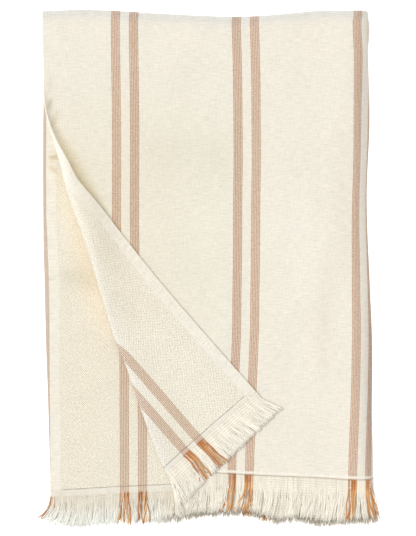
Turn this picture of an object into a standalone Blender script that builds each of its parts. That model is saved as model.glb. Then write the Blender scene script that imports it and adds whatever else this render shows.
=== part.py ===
"""A fringed hammam towel, folded in half across its width and again along its length.

The cloth lies flat on a surface, so there are four layers. From the top down they are the
front, the under layer, the inner back and the outer back. The front's left corner is turned
back over itself, which shows the reverse. The cloth is drawn flat, cut along the turned
corner's crease and then folded vertex by vertex. Each end has a fringe, one comb of locks on
a narrow heading for each layer.

The tables are in millimetres: x runs right from the middle, y runs up from the lowest tip
and z up from the surface. The origin is under the middle of the towel's bounding box.
"""

import math
import random

import bmesh
import bpy
from mathutils import Vector

MM = 0.001

# The flat cloth. `across` runs from the turned selvage to the far one, and `along` runs
# from the front end to the back end, with 0 at the top fold.
WIDTH = 700.0
THICKNESS = 1.5
HEM_WIDTH = 13.0
HEM_THICKNESS = 2.1
RIDGE_RUN = 495.0  # from the top fold's start to the sewn ridge of an end
RIDGE_HALF = 2.2
RIDGE_HEIGHT = 0.5
HEADER = 7.0  # woven cloth past the ridge
END_RUN = RIDGE_RUN + HEADER

# The fold along the right side, as cloth across, and its half ellipse.
CREST = 353.0
CREST_CLOTH = 7.0
CREST_DEPTH = 5.4
PUFF = 1.3
PUFF_REACH = 50.0

# The fold over the top, as heights of the face surface from the stack's middle.
OUTER = 5.25
INNER = 0.75
TOP_CLOTH = 4.3

# The turned corner.
TURN_REACH = 200.0
REST_LIFT = 0.9
FALL = 40.0
SETTLED = 40.0
ROLL_STEPS = 7
HALVINGS = 40  # steps in the search for a roll line
SNAP = 0.2  # a cut this near a vertex runs through it

# The fringes.
PART_GAP = 0.3
HEADING = 3.5
LOCK_PITCH = 5.8
LOCK_SHARE = 0.74
LOCK_SWAY = 2.2
LOCK_UNEVEN = 2.5
SAG_FROM = 28.0
SAG_OVER = 22.0
CREST_GAP = 3.5
ROLL_GAP = 2.0
SEED = 11

# The origin in the tables' x and y.
MIDDLE = (0.7, 282.1)

CREAM = (0.86, 0.80, 0.68, 1.0)
FRINGE_CREAM = (0.90, 0.86, 0.77, 1.0)
CLOTH_ROUGHNESS = 0.9

# Plan outlines: x, y of the top fold and of the ridge at each layer's end.
TOP_FOLD = (
    (-178.0, 560.5), (-138.0, 562.0), (-104.0, 561.0), (-28.0, 556.5),
    (42.0, 554.5), (95.0, 558.5), (123.0, 561.0), (174.0, 561.0),
)
END_FRONT = (
    (-177.0, 66.5), (-44.0, 63.2), (0.0, 60.0), (17.0, 59.0), (52.0, 57.0),
    (124.0, 54.0), (154.0, 52.0), (179.0, 52.0),
)
END_UNDER = ((-172.0, 39.5), (-46.0, 46.0), (179.0, 52.0))
END_INNER = ((-172.0, 49.0), (179.0, 53.0))
END_OUTER = ((-177.0, 45.0), (179.0, 53.0))

# Plan outlines: y, x of each layer's left edge and of the two folds on the right.
LEFT_FRONT = ((51.0, -177.0), (450.0, -177.0), (561.0, -179.0))
LEFT_UNDER = ((13.0, -170.5), (138.0, -171.5), (246.0, -173.0), (450.0, -174.0), (561.0, -174.5))
LEFT_INNER = ((13.0, -172.5), (138.0, -174.0), (203.0, -177.5), (450.0, -178.5), (561.0, -175.0))
LEFT_OUTER = ((13.0, -173.5), (138.0, -175.5), (203.0, -177.5), (561.0, -179.0))
RIGHT_UPPER = (
    (8.0, 178.2), (50.0, 178.3), (120.0, 178.8), (203.0, 179.1), (259.0, 176.8), (357.0, 173.3),
    (440.0, 176.3), (512.0, 174.8), (549.0, 173.8), (557.0, 175.3), (561.0, 174.8),
)
RIGHT_LOWER = (
    (8.0, 182.4), (50.0, 181.4), (90.0, 180.4), (124.0, 179.3), (203.0, 178.4), (259.0, 175.3),
    (378.0, 173.3), (512.0, 174.8), (540.0, 177.3), (549.0, 176.3), (561.0, 173.8),
)

# The turned corner: y, x of its folded side; y, radius of its roll; and for places y on the
# flat selvage, the x, y at which that place lies once it is turned.
CREASE = (
    (13.0, -31.0), (49.0, -40.0), (60.0, -45.0), (84.0, -56.0), (127.0, -71.5),
    (180.0, -90.0), (206.0, -101.0), (307.0, -131.5), (365.0, -152.0),
    (400.0, -160.5), (450.0, -175.5), (507.0, -194.0),
)
ROLL = ((60.0, 1.9), (203.0, 1.9), (255.0, 3.2), (306.0, 5.6), (363.0, 7.8), (409.0, 8.2), (507.0, 8.0))
TURNED = (
    (13.0, 90.0, 126.0), (51.0, 60.0, 139.0), (60.0, 54.5, 145.5), (136.5, 3.5, 203.0),
    (218.0, -50.0, 265.0), (303.0, -103.0, 331.0), (363.5, -142.0, 377.0),
    (401.0, -162.0, 409.0), (446.5, -174.5, 452.5),
)

# How far the fringe's tips are swept sideways, by x of the root, and where they end.
SWEEP = ((-175.0, -12.0), (-140.0, -5.0), (-100.0, -1.0), (20.0, -3.0), (150.0, -2.0), (180.0, 6.0))
TIPS = (
    (-186.0, 19.0), (-178.0, 9.5), (-165.0, 4.0), (-140.0, 1.0), (-100.0, 5.0), (-40.0, 6.5),
    (-10.0, 11.5), (40.0, 14.0), (75.0, 5.5), (100.0, 6.5), (122.0, 2.5), (150.0, 3.5),
    (186.0, 6.0),
)
FLAP_LOCK = 33.0

# The fringes: name, end of the towel (-1 the front's), how far a lock stops short of the
# tips' outline (none for the turned corner's own) and how far it sags.
FRINGES = (
    ("fringe_flap", -1, None, 0.0),
    ("fringe_front", -1, 1.0, 3.6),
    ("fringe_under", -1, 0.0, 2.4),
    ("fringe_back_inner", 1, 2.0, 1.2),
    ("fringe_back_outer", 1, 3.0, 0.0),
)

# Stations of the flat mesh.
COLUMNS = (0.0, HEM_WIDTH, 60.0, 105.0, 150.0, 195.0, 240.0, 285.0, 318.0)
CREST_STEPS = 8
TOP_STEPS = 8
FRONT_ROWS = (
    6.0, 16.0, 32.0, 52.0, 68.0, 80.0, 92.0, 104.0, 116.0, 128.0, 140.0, 152.0, 164.0,
    178.0, 194.0, 214.0, 240.0, 272.0, 308.0, 346.0, 384.0, 422.0, 458.0,
)
BACK_ROWS = (6.0, 16.0, 32.0, 70.0, 130.0, 200.0, 280.0, 360.0, 440.0)


def curve_at(table, where, column=1):
    """The value in a table's column at a place on its first column, along a smooth curve."""
    last = len(table) - 1
    i = 0
    while i < last - 1 and where > table[i + 1][0]:
        i += 1

    def slope(k):
        low = table[max(k - 1, 0)]
        high = table[min(k + 1, last)]
        return (high[column] - low[column]) / (high[0] - low[0])

    start, end = table[i], table[i + 1]
    span = end[0] - start[0]
    if where <= start[0]:
        return start[column] + slope(i) * (where - start[0])
    if where >= end[0]:
        return end[column] + slope(i + 1) * (where - end[0])
    t = (where - start[0]) / span
    rise = end[column] - start[column]
    a = slope(i) * span - rise
    b = rise - slope(i + 1) * span
    return start[column] + rise * t + t * (1 - t) * (a * (1 - t) + b * t)


def smooth(value):
    """Eases from 0 to 1."""
    t = min(max(value, 0.0), 1.0)
    return t * t * (3.0 - 2.0 * t)


def mix(a, b, share):
    return a + (b - a) * share


def stack_at(across):
    """Turn of the side fold (0 in the outer layers, pi in the inner ones) and the puff."""
    turn = (across - CREST + CREST_CLOTH) / (2.0 * CREST_CLOTH)
    nearness = 1.0 - (abs(across - CREST) - CREST_CLOTH) / PUFF_REACH
    return math.pi * min(max(turn, 0.0), 1.0), PUFF * smooth(nearness)


def plan_x(across, y, over):
    """Where a place on the cloth lies from left to right; `over` is 0 in front, 1 behind."""
    right = mix(curve_at(RIGHT_UPPER, y), curve_at(RIGHT_LOWER, y), over) - CREST_DEPTH
    if across < CREST:
        left = mix(curve_at(LEFT_FRONT, y), curve_at(LEFT_OUTER, y), over)
        share = across / (CREST - CREST_CLOTH)
    else:
        left = mix(curve_at(LEFT_UNDER, y), curve_at(LEFT_INNER, y), over)
        share = (WIDTH - across) / (WIDTH - CREST - CREST_CLOTH)
    turn, _ = stack_at(across)
    return mix(left, right, min(share, 1.0)) + CREST_DEPTH * math.sin(turn)


def end_y(across, x, over):
    """Where the ridge of a layer's end lies."""
    turn, _ = stack_at(across)
    inward = (1.0 - math.cos(turn)) / 2.0
    if over < 0.5:
        return mix(curve_at(END_FRONT, x), curve_at(END_UNDER, x), inward)
    return mix(curve_at(END_OUTER, x), curve_at(END_INNER, x), inward)


def laid(across, along):
    """A place on the folded cloth before its corner is turned, with its rise of ridge."""
    turn, puff = stack_at(across)
    outer = OUTER + puff
    radius = mix(INNER, outer, (1.0 + math.cos(turn)) / 2.0)
    over = min(max((along + TOP_CLOTH) / (2.0 * TOP_CLOTH), 0.0), 1.0)
    run = max(abs(along) - TOP_CLOTH, 0.0)
    x = plan_x(across, curve_at(TOP_FOLD, 0.0) - run, over)
    start = curve_at(TOP_FOLD, x) - outer
    stop = end_y(across, x, over)
    y = mix(start, stop, run / RIDGE_RUN) if run < RIDGE_RUN else stop - (run - RIDGE_RUN)
    x = plan_x(across, y, over)
    y += radius * math.sin(math.pi * over)
    ridge = RIDGE_HEIGHT * max(1.0 - abs(run - RIDGE_RUN) / RIDGE_HALF, 0.0)
    facing = math.cos(turn) if over < 0.5 else -min(math.cos(turn), 0.0)
    return Vector((x, y, outer + radius * math.cos(math.pi * over))), ridge * facing


def crease_at(y):
    """The roll of the turned corner at a height: its start x, lean, radius and cloth."""
    slope = (curve_at(CREASE, y + 1.0) - curve_at(CREASE, y - 1.0)) / 2.0
    lean = math.atan(-slope)
    radius = curve_at(ROLL, y)
    start = curve_at(CREASE, y) + (radius + THICKNESS) / math.cos(lean)
    cloth = math.pi * (radius + THICKNESS / 2.0) / math.cos(lean)
    return start, lean, radius, cloth


def turned(flat, across):
    """A place of the front layer once its corner is turned, and how its face is tipped."""
    start, lean, radius, cloth = crease_at(flat.y)
    past = start - flat.x
    if past <= 0.0:
        return flat, 1.0
    down = Vector((math.sin(lean), -math.cos(lean), 0.0))
    out = Vector((-math.cos(lean), -math.sin(lean), 0.0))
    base = Vector((start, flat.y, flat.z))
    angle = math.pi * min(past / cloth, 1.0)
    rolled = min(past, cloth)
    place = base - down * math.sin(lean) * rolled + out * radius * math.sin(angle)
    place.z += radius * (1.0 - math.cos(angle))
    if past <= cloth:
        return place, math.cos(angle)
    free = past - cloth
    whole = start - curve_at(LEFT_FRONT, flat.y) - cloth
    mirrored = Vector((math.cos(2.0 * lean), math.sin(2.0 * lean), 0.0)) * free
    selvage = Vector((curve_at(TURNED, flat.y, 1), curve_at(TURNED, flat.y, 2), place.z))
    measured = (selvage - place) * (free / max(whole, 1.0))
    place += mirrored.lerp(measured, smooth(whole / SETTLED))
    lifted = 2.0 * radius
    place.z = flat.z + mix(lifted, min(REST_LIFT, lifted), smooth(free / FALL))
    return place, -1.0


def folded(across, along, sag=0.0):
    """Where a place of the flat cloth lies in the folded towel, in metres."""
    flat, ridge = laid(across, along)
    flat.z -= sag
    tip = 1.0
    if along < 0.0 and across < TURN_REACH:
        flat, tip = turned(flat, across)
    flat.z += ridge * tip
    return (flat - Vector((*MIDDLE, 0.0))) * MM


def roll_across(along, share):
    """The place across at which a line of the turned corner's roll crosses a row."""
    low, high = -TURN_REACH, TURN_REACH
    for _ in range(HALVINGS):
        middle = (low + high) / 2.0
        flat, _ = laid(middle, along)
        start, _, _, cloth = crease_at(flat.y)
        if flat.x < start - share * cloth:
            low = middle
        else:
            high = middle
    return (low + high) / 2.0


def flat_mesh(columns, rows):
    """A grid primitive whose columns and rows stand at the given places."""
    bm = bmesh.new()
    bmesh.ops.create_grid(bm, x_segments=len(columns) - 1, y_segments=len(rows) - 1, size=0.5)
    for vert in bm.verts:
        column = round((vert.co.x + 0.5) * (len(columns) - 1))
        row = round((vert.co.y + 0.5) * (len(rows) - 1))
        vert.co = Vector((columns[column], rows[row], 0.0))
    return bm


def cut_roll(bm, rows):
    """Cuts the flat mesh along the lines of the turned corner's roll, row by row."""
    for upper, lower in zip(rows[1:], rows):
        for step in range(ROLL_STEPS + 1):
            start = Vector((roll_across(upper, step / ROLL_STEPS), upper, 0.0))
            end = Vector((roll_across(lower, step / ROLL_STEPS), lower, 0.0))
            if end.x <= 0.0:
                continue
            band = [f for f in bm.faces if lower < f.calc_center_median().y < upper]
            near = {e for f in band for e in f.edges} | {v for f in band for v in f.verts}
            line = end - start
            bmesh.ops.bisect_plane(
                bm,
                geom=band + list(near),
                dist=SNAP,
                plane_co=start,
                plane_no=Vector((line.y, -line.x, 0.0)),
            )


def add_object(name, bm, material, hem=False):
    """Makes an object of an open mesh and gives it the cloth's thickness."""
    mesh = bpy.data.meshes.new(name)
    bmesh.ops.triangulate(bm, faces=bm.faces)
    bm.to_mesh(mesh)
    bm.free()
    mesh.materials.append(material)
    obj = bpy.data.objects.new(name, mesh)
    TOWEL.objects.link(obj)
    solid = obj.modifiers.new("Thickness", "SOLIDIFY")
    solid.thickness = (HEM_THICKNESS if hem else THICKNESS) * MM
    solid.offset = -1.0
    solid.use_even_offset = True
    return obj


def make_material(name, colour):
    material = bpy.data.materials.new(name)
    material.use_nodes = True
    shader = material.node_tree.nodes["Principled BSDF"]
    shader.inputs["Base Color"].default_value = colour
    shader.inputs["Roughness"].default_value = CLOTH_ROUGHNESS
    return material


def make_cloth(material):
    """The whole cloth: one sheet with a thicker hem along both selvages."""
    bend = [CREST - CREST_CLOTH + 2.0 * CREST_CLOTH * i / CREST_STEPS for i in range(CREST_STEPS + 1)]
    far = [WIDTH - place for place in reversed(COLUMNS)]
    columns = list(COLUMNS) + bend + far
    top = [-TOP_CLOTH + 2.0 * TOP_CLOTH * i / TOP_STEPS for i in range(TOP_STEPS + 1)]
    ending = [RIDGE_RUN - RIDGE_HALF, RIDGE_RUN, RIDGE_RUN + RIDGE_HALF, END_RUN]
    front = [-TOP_CLOTH - run for run in list(FRONT_ROWS) + ending]
    back = [TOP_CLOTH + run for run in list(BACK_ROWS) + ending]
    rows = list(reversed(front)) + top + back
    bm = flat_mesh(columns, rows)
    cut_roll(bm, [row for row in rows if row < 0.0])
    weights = bm.verts.layers.deform.verify()
    for vert in bm.verts:
        at_hem = min(vert.co.x, WIDTH - vert.co.x) < HEM_WIDTH - 0.5
        vert[weights][0] = 1.0 if at_hem else THICKNESS / HEM_THICKNESS
        vert.co = folded(vert.co.x, vert.co.y)
    cloth = add_object("towel_cloth", bm, material, hem=True)
    cloth.vertex_groups.new(name="hem")
    cloth.modifiers["Thickness"].vertex_group = "hem"


def lock_length(across, side, root, short):
    """How far the lock at a place on the cloth reaches past its heading."""
    if short is None:
        return FLAP_LOCK
    start, _ = laid(across, side * (TOP_CLOTH + root))
    tip = curve_at(TIPS, start.x + curve_at(SWEEP, start.x)) + short
    return start.y - tip


def make_fringe(name, side, short, sag, low, high, material):
    """A comb of locks on a narrow heading, parted from the cloth's end."""
    count = round((high - low) / LOCK_PITCH)
    pitch = (high - low) / count
    columns = [low]
    for i in range(count):
        left = low + pitch * (i + (1.0 - LOCK_SHARE) / 2.0)
        columns += [left, left + pitch * LOCK_SHARE]
    columns.append(high)
    root = END_RUN + PART_GAP + HEADING
    rows = [END_RUN + PART_GAP, root, root + 0.5, root + 1.0]  # a lock's middle and tip last
    bm = flat_mesh(columns, rows)
    gaps = []
    for face in bm.faces:
        centre = face.calc_center_median()
        column = sum(1 for place in columns if place < centre.x) - 1
        if centre.y > root and column % 2 == 0:
            gaps.append(face)
    bmesh.ops.delete(bm, geom=gaps, context="FACES")
    chance = random.Random(f"{name} {SEED}")
    sways = [chance.uniform(-LOCK_SWAY, LOCK_SWAY) for _ in range(count)]
    lengths = [
        lock_length(low + pitch * (i + 0.5), side, root, short) - chance.uniform(0.0, LOCK_UNEVEN)
        for i in range(count)
    ]
    for vert in bm.verts:
        across, run = vert.co.x, vert.co.y
        lock = min(max(int((across - low) / pitch), 0), count - 1)
        out = max(run - root, 0.0)
        along = side * (TOP_CLOTH + min(run, root) + lengths[lock] * out)
        clear = smooth((abs(across - CREST) - CREST_CLOTH) / PUFF_REACH)
        flat, _ = laid(across, along)
        place = folded(across, along, sag * clear * smooth((SAG_FROM - flat.y) / SAG_OVER))
        sweep = 0.0 if short is None else curve_at(SWEEP, flat.x) * out * out
        place.x += (sweep + sways[lock] * clear * out) * MM
        vert.co = place
    if side < 0:
        bmesh.ops.reverse_faces(bm, faces=bm.faces)
    add_object(name, bm, material)


for old in list(bpy.data.objects):
    bpy.data.objects.remove(old, do_unlink=True)
TOWEL = bpy.data.collections.new("Hammam towel")
bpy.context.scene.collection.children.link(TOWEL)

cream = make_material("cream cotton", CREAM)
yarn = make_material("loose warp yarn", FRINGE_CREAM)
make_cloth(cream)

roll_start = roll_across(-TOP_CLOTH - END_RUN, 0.0)
roll_end = roll_across(-TOP_CLOTH - END_RUN, 1.0)
SPANS = (
    (0.0, roll_end - PART_GAP),
    (roll_start + ROLL_GAP, CREST - CREST_GAP),
    (CREST + CREST_GAP, WIDTH),
    (CREST + CREST_GAP, WIDTH),
    (0.0, CREST - CREST_GAP),
)
for fringe, span in zip(FRINGES, SPANS):
    make_fringe(*fringe, *span, yarn)
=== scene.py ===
"""Dresses the folded hammam towel: its woven cloth, its loose warp and the studio round it."""

import math
import random

import bmesh
import bpy
from bpy.props import FloatProperty, FloatVectorProperty, PointerProperty
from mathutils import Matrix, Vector, noise

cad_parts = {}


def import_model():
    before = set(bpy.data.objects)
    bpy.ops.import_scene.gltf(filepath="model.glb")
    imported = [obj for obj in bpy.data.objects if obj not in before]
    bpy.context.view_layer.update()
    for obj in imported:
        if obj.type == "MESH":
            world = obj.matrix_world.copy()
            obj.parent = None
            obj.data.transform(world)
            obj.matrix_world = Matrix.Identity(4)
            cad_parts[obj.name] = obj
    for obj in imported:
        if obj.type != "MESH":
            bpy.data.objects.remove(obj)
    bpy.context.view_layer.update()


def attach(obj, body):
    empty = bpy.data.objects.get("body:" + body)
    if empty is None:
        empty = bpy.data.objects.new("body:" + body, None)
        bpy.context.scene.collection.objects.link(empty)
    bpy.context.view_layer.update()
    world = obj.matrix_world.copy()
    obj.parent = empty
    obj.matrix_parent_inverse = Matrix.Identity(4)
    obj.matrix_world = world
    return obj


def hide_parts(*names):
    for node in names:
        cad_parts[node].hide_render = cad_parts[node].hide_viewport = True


bl_info = {
    "name": "Hammam towel",
    "version": (1, 0, 0),
    "blender": (4, 5, 0),
    "location": "3D View > Sidebar > Towel",
    "description": "Weaves, folds and fringes a striped cotton hammam towel",
    "category": "Object",
}

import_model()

MM = 0.001
IMAGE_TALL = 536  # the photograph's height in pixels

# ---------------------------------------------------------------------------------------
# The fold. These sizes and tables are the part's own, in millimetres: x runs right from
# the middle, y up from the lowest tip and z up from the surface.
# ---------------------------------------------------------------------------------------

WIDTH = 700.0
PIXEL = WIDTH / 645.0  # millimetres to a pixel of the photograph
THICKNESS = 1.5
HEM_WIDTH = 13.0
HEM_THICKNESS = 2.1
HEM_STEP = 0.15  # of the extra thickness that shows on the visual sheet
HEM_SLOPE = 3.0  # over which a hem grows thin
RIDGE_RUN = 495.0  # from the top fold's start to the sewn ridge of an end
RIDGE_HALF = 1.25
RIDGE_HEIGHT = 0.85
HIDDEN_RIDGE = 0.5  # where the face is down or between the layers
RIDGE_BACK = 1.9  # how far before the seam line the front ridge's middle lies
HEADER = 7.0  # woven cloth past the ridge
END_RUN = RIDGE_RUN + HEADER

CREST = 353.0  # across, the middle of the side fold
CREST_CLOTH = 7.0  # half the cloth that goes round it
CREST_DEPTH = 5.4
PUFF = 1.3  # how much the stack swells beside it
PUFF_REACH = 50.0

OUTER = 5.25  # half the height of the outer layers' fold over the top
INNER = 0.75
TOP_CLOTH = 4.3  # half the cloth that goes round it

TURN_REACH = 200.0  # across, past the widest part of the turned corner
REST_LIFT = 0.9
FALL = 40.0  # from the roll to where the corner rests
SETTLED = 40.0  # turned cloth wide enough to lie where TURNED says
ROLL_STEPS = 10
HALVINGS = 30
SNAP = 0.3

HEADING = 3.5
PART_GAP = 0.3
LOCK_PITCH = 5.8
SAG_FROM = 28.0
SAG_OVER = 22.0
MIDDLE = (0.7, 282.1)

# Where the edges and ends of the layers lie: x and y, or for an upright edge y and x.
TOP_FOLD = (
    (-178, 560.5), (-138, 562), (-104, 561), (-28, 556.5), (42, 554.5), (95, 558.5), (123, 561),
    (174, 561),
)
END_FRONT = (
    (-177, 66.5), (-44, 63.2), (0, 60), (17, 59), (52, 57), (124, 54), (154, 52), (179, 52),
)
END_UNDER = ((-172, 39.5), (-46, 46), (179, 52))
END_INNER = ((-172, 49), (179, 53))
END_OUTER = ((-177, 45), (179, 53))
LEFT_FRONT = ((51, -177), (450, -177), (561, -179))
LEFT_UNDER = (
    (13, -169.8), (94, -170.3), (176, -171), (241, -171.3), (273, -171.8), (306, -173.2),
    (339, -174.6), (450, -174.6), (561, -174.5),
)
LEFT_INNER = (
    (13, -170.2), (62, -170.7), (94, -171.7), (143, -173.2), (192, -175), (241, -176.3),
    (273, -177), (306, -178), (450, -178.2), (561, -175),
)
LEFT_OUTER = (
    (13, -169.8), (62, -170.3), (94, -171.3), (143, -172.8), (192, -174.6), (241, -175.9),
    (306, -177.6), (450, -177.8), (561, -178.5),
)
RIGHT_UPPER = (
    (8, 178.2), (50, 178.3), (120, 178.8), (203, 179.1), (259, 176.8), (357, 173.3), (440, 176.3),
    (512, 174.8), (549, 173.8), (557, 175.3), (561, 174.8),
)
RIGHT_LOWER = (
    (8, 182.4), (50, 181.4), (90, 180.4), (124, 179.3), (203, 178.4), (259, 175.3), (378, 173.3),
    (512, 174.8), (540, 177.3), (549, 176.3), (561, 173.8),
)
# The turned corner: the line of its roll, the roll's radius, its selvage (y, then x and y),
# and how the fringe's locks lean and where they end.
CREASE = (
    (13, -31), (49, -40), (60, -45), (84, -56), (127, -71.5), (180, -90), (206, -101),
    (307, -131.5), (365, -152), (400, -160.5), (450, -175.5), (507, -194),
)
ROLL = ((60, 1.9), (203, 1.9), (255, 3.2), (306, 5.6), (363, 7.8), (409, 8.2), (507, 8))
TURNED = (
    (13, 90, 126), (51, 60, 139), (60, 54.5, 145.5), (136.5, 3.5, 203), (218, -50, 265),
    (303, -103, 331), (363.5, -142, 377), (401, -162, 409), (446.5, -174.5, 452.5),
)
SWEEP = ((-175, -12), (-140, -5), (-100, -1), (20, -3), (150, -2), (180, 6))
TIPS = (
    (-186, 19), (-178, 9.5), (-165, 4), (-140, 1), (-100, 5), (-40, 6.5), (-10, 11.5), (40, 14),
    (75, 5.5), (100, 6.5), (122, 2.5), (150, 3.5), (186, 6),
)
FLAP_LOCK = 33.0

# ---------------------------------------------------------------------------------------
# What only shows: how the pattern drifts over the cloth, its soft creases and its painted light and
# shade.
# ---------------------------------------------------------------------------------------

# y, then how far the pattern has drifted at places on the way across the front half.
DRIFT = (
    (52, -0.4, 0, 9.4, 9.3, 11.5), (62, 0.4, 0.9, 9.1, 9.1, 12.1), (82, 2.4, 3.4, 8.6, 8.7, 11.6),
    (104, 2.8, 3.8, 7.9, 8, 10.8), (138, 1.9, 2.8, 7, 6.9, 9.8), (181, 0.5, 1.2, 5.5, 6.3, 9.2),
    (212, 0.2, 0.5, 4, 5.4, 8.6), (246, 0.9, 0.9, 2.7, 4.2, 7.8), (312, 1, 1, 0, 1.6, 7),
    (377, 1, 0.8, -1, -0.5, 6), (442, 1.6, 1.4, 0.6, 1.4, 7), (507, 1.4, 1.2, 0.2, -0.4, 0.8),
    (550, 0.8, 0.7, 0.2, -0.2, 0.8),
)
DRIFT_AT = (0.0, 0.226, 0.281, 0.62, 0.95, 1.0)
DRIFT_END = 120.0  # cloth at the far selvage that hasn't slid
BACK_DRIFT = -4.0
BACK_DRIFT_OVER = 60.0

# Soft creases of the top layer: x, y, angle, half length, half width, height.
TOP_CREASES = (
    (38, 441, 1, 125, 21, -1.3),
    (38, 490, 1, 125, 24, 0.8),
    (122, 236, 88, 80, 9, 1.5),
    (-136, 492, 4, 34, 13, 1.4),
    (-161, 531, 96, 14, 4, 0.8),
    (-8, 540, -32, 16, 6, 1.2),
    (80, 330, 72, 60, 22, 1),
    (-171.5, 481, 84, 9, 3, 0.8),
    (-170.5, 459, 72, 6, 2.4, 0.9),
)
# The same for the under layer, where the turned corner leaves it bare.
UNDER_CREASES = (
    (-148, 287, -22, 26, 6.5, 2.1),
    (-138, 262, -14, 22, 7, 1.2),
    (-165, 403, 8, 7, 2.6, 1.5),
    (-165, 389, -6, 7, 2.4, 1.3),
    (-169, 272, 35, 5, 2.2, 1),
    (-140, 150, 5, 28, 8, 1.2),
    (-120, 96, -12, 26, 9, 1),
    (-125, 195, 20, 20, 9, 0.9),
)
# The same for the turned corner, on the flat cloth: across, along, angle and so on.
FLAP_CREASES = (
    (62, -300, 78, 60, 9, 1.1),
    (30, -330, 84, 46, 6, 0.9),
    (84, -420, 70, 40, 9, 0.8),
)
UNEVEN = 0.5
# Waves of the unevenness: lengths across and along, and the slice of the noise.
BROAD_WAVE, FINE_WAVE, UNDER_WAVE = (46.0, 60.0, 3.7), (17.0, 24.0, 9.1), (11.0, 13.0, 5.0)
BARE_FROM = 12.0  # beside the roll, where the under layer begins to show
BARE_OVER = 14.0
LAYER_SHARE = (1.0, 0.5, 0.0, 0.25)  # of the relief: front, under, outer back, inner back

# Painted light and shade: light caught between the layers, shade in their dips and at edges turned
# from the light. Each row: x, y, angle, half length, half width and colour, for the top layer, the
# under layer and the turned corner.
TOP_PAINTED_LIGHT = (
    (-85, 320, 90, 150, 110, (0.968, 0.968, 0.925)),
    (-22, 403, 0, 64, 34, (0.958, 0.96, 0.95)),
    (147, 350, 90, 90, 12, (0.955, 0.945, 0.925)),
    (124, 222, 88, 58, 11, (0.975, 0.97, 0.96)),
    (102, 305, 90, 65, 16, (1.03, 1.035, 1.045)),
    (-171.5, 482, 84, 9, 2.6, (0.93, 0.92, 0.88)),
    (-170.8, 459, 74, 5.5, 2.4, (0.76, 0.71, 0.62)),
    (-166, 441, 68, 12, 3, (0.90, 0.86, 0.78)),
    (-141, 385, -58.5, 62, 8, (1.14, 1.08, 0.94)),
    (170.5, 420, 90, 155, 10, (0.79, 0.78, 0.785)),
    (177, 150, 90, 125, 5.5, (0.74, 0.72, 0.73)),
    (169, 160, 90, 110, 8, (0.90, 0.895, 0.90)),
)
UNDER_PAINTED_LIGHT = (
    (-131, 293, -72.5, 95, 16, (1.08, 1.02, 0.95)),
    (-130, 170, 84, 150, 34, (1.005, 0.99, 0.98)),
    (-139, 270, -12, 21, 11, (0.915, 0.91, 0.88)),
    (-153, 333, 90, 32, 9, (1.03, 1.045, 1.07)),
    (-166.5, 401, 24, 5, 3, (0.80, 0.70, 0.58)),
    (-167, 388.5, -30, 4.5, 2.4, (0.88, 0.78, 0.66)),
    (-169, 270.5, 38, 4, 1.8, (0.86, 0.83, 0.76)),
)
UNDER_PAINTED_LIFT = (1.035, 1.04, 1.035)  # painted light all over the under layer
BACK_PAINTED_SHADE = (0.98, 1.0, 1.04)  # a cool painted shade all over the back half, for its strip seen between the layers
FLAP_PAINTED_LIGHT = (
    (-13, 149, -54, 95, 60, (1.06, 1.07, 1.08)),
    (-104, 290, -54, 90, 45, (1.045, 1.035, 1.02)),
)
CROWN_PAINTED_HIGHLIGHT = (1.02, 1.045, 1.11)  # painted highlight along the roll's crown
CREASE_DEPTH = 13.0
CROWN = 0.45  # of the roll's cloth
HIGH_PAINTED_LIGHT = (1.045, 1.045, 1.03)  # painted light on the turned corner's upper end
HIGH_FROM = 290.0
HIGH_OVER = 60.0
FOLD_PAINTED_SHADE = (0.84, 0.875, 0.94)  # painted shade along the top fold, which turns from the light
FOLD_DEPTH = 7.5

# Stations of the flat mesh.
FRONT_CELL, BACK_CELL, TOP_CELL = 3.6, 9.0, 0.9
COLUMN_CELL, BEND_CELL = 3.7, 1.2
HEM_COLUMNS = [0.0, 1.5, 5.0, 8.0, 10.0, 11.0, 12.0]
SEAM_ROWS = (-3.7, -3.15, -2.8, -2.35, -1.9, -1.45, -1.0, -0.65, -0.1, 0.6, 1.25, 2.2, 4.6)
BAND = 4  # rows to a straight run of the roll's lines
CLOTH_SMOOTH, YARN_SMOOTH = 50.0, 89.0  # degrees past which an edge stays sharp

# The fringes: node, end (-1 the front's), how far a lock stops short of the tips' outline
# (none for the turned corner's), sag, and where the loose yarns start.
FRINGES = (
    ("fringe_flap", -1, None, 0.0, RIDGE_RUN + 4.2),
    ("fringe_front", -1, 3.4, 3.6, RIDGE_RUN + 1.0),
    ("fringe_under", -1, -2.6, 2.4, END_RUN - 1.0),
    ("fringe_back_inner", 1, -1.0, 1.2, END_RUN - 1.0),
    ("fringe_back_outer", 1, 0.0, 0.0, END_RUN - 1.0),
)
SEED = 11
LOOSE = {"fringe_flap": 0.35}  # how loosely a run's yarns lie, against 1 for the others
LOCK_MIDDLE = (0.35, 0.65)  # of a lock's width, where its yarns gather
LOCK_PINCH = (0.05, 0.5)  # how closely
LOCK_HURRY = 1.15  # how soon
LENGTH_SPREAD, SHORTEST = 1.5, 6.0
WANDER, STRAY_WANDER = 1.5, 4.5  # how far a yarn's tip strays
BOW = (0.2, 1.0)
BOW_TURNS, RISE_TURNS = 7.0, 6.0  # radians of a yarn's bows to its length
TIER_RISE = 1.3  # of a yarn's radius, from one layer of yarns to the next
LIFT_SPREAD, STRAY_LIFT, STRAND_LIFT = 0.3, 0.8, 0.5
ROOT_LIFT = 0.25  # share of its lift that a yarn has at its root
FACE_GAP = 0.45  # over the header
HEADER_END = 3.0  # over which they come down from it
SPACING = (0.15, 0.85)  # of a yarn's own width of cloth
YARN_SPREAD = (0.8, 1.2)
TIP_WIDTH = 0.55
TWIST = 3.2  # a yarn's length to one turn of its ply
YARN_SIDES, YARN_STEPS = 4, 9
TIERS = (3, 3, 3, 1, 2)  # layers of yarns to a run, and to the rolled part of the corner's
ROLL_TIERS = 2
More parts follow.
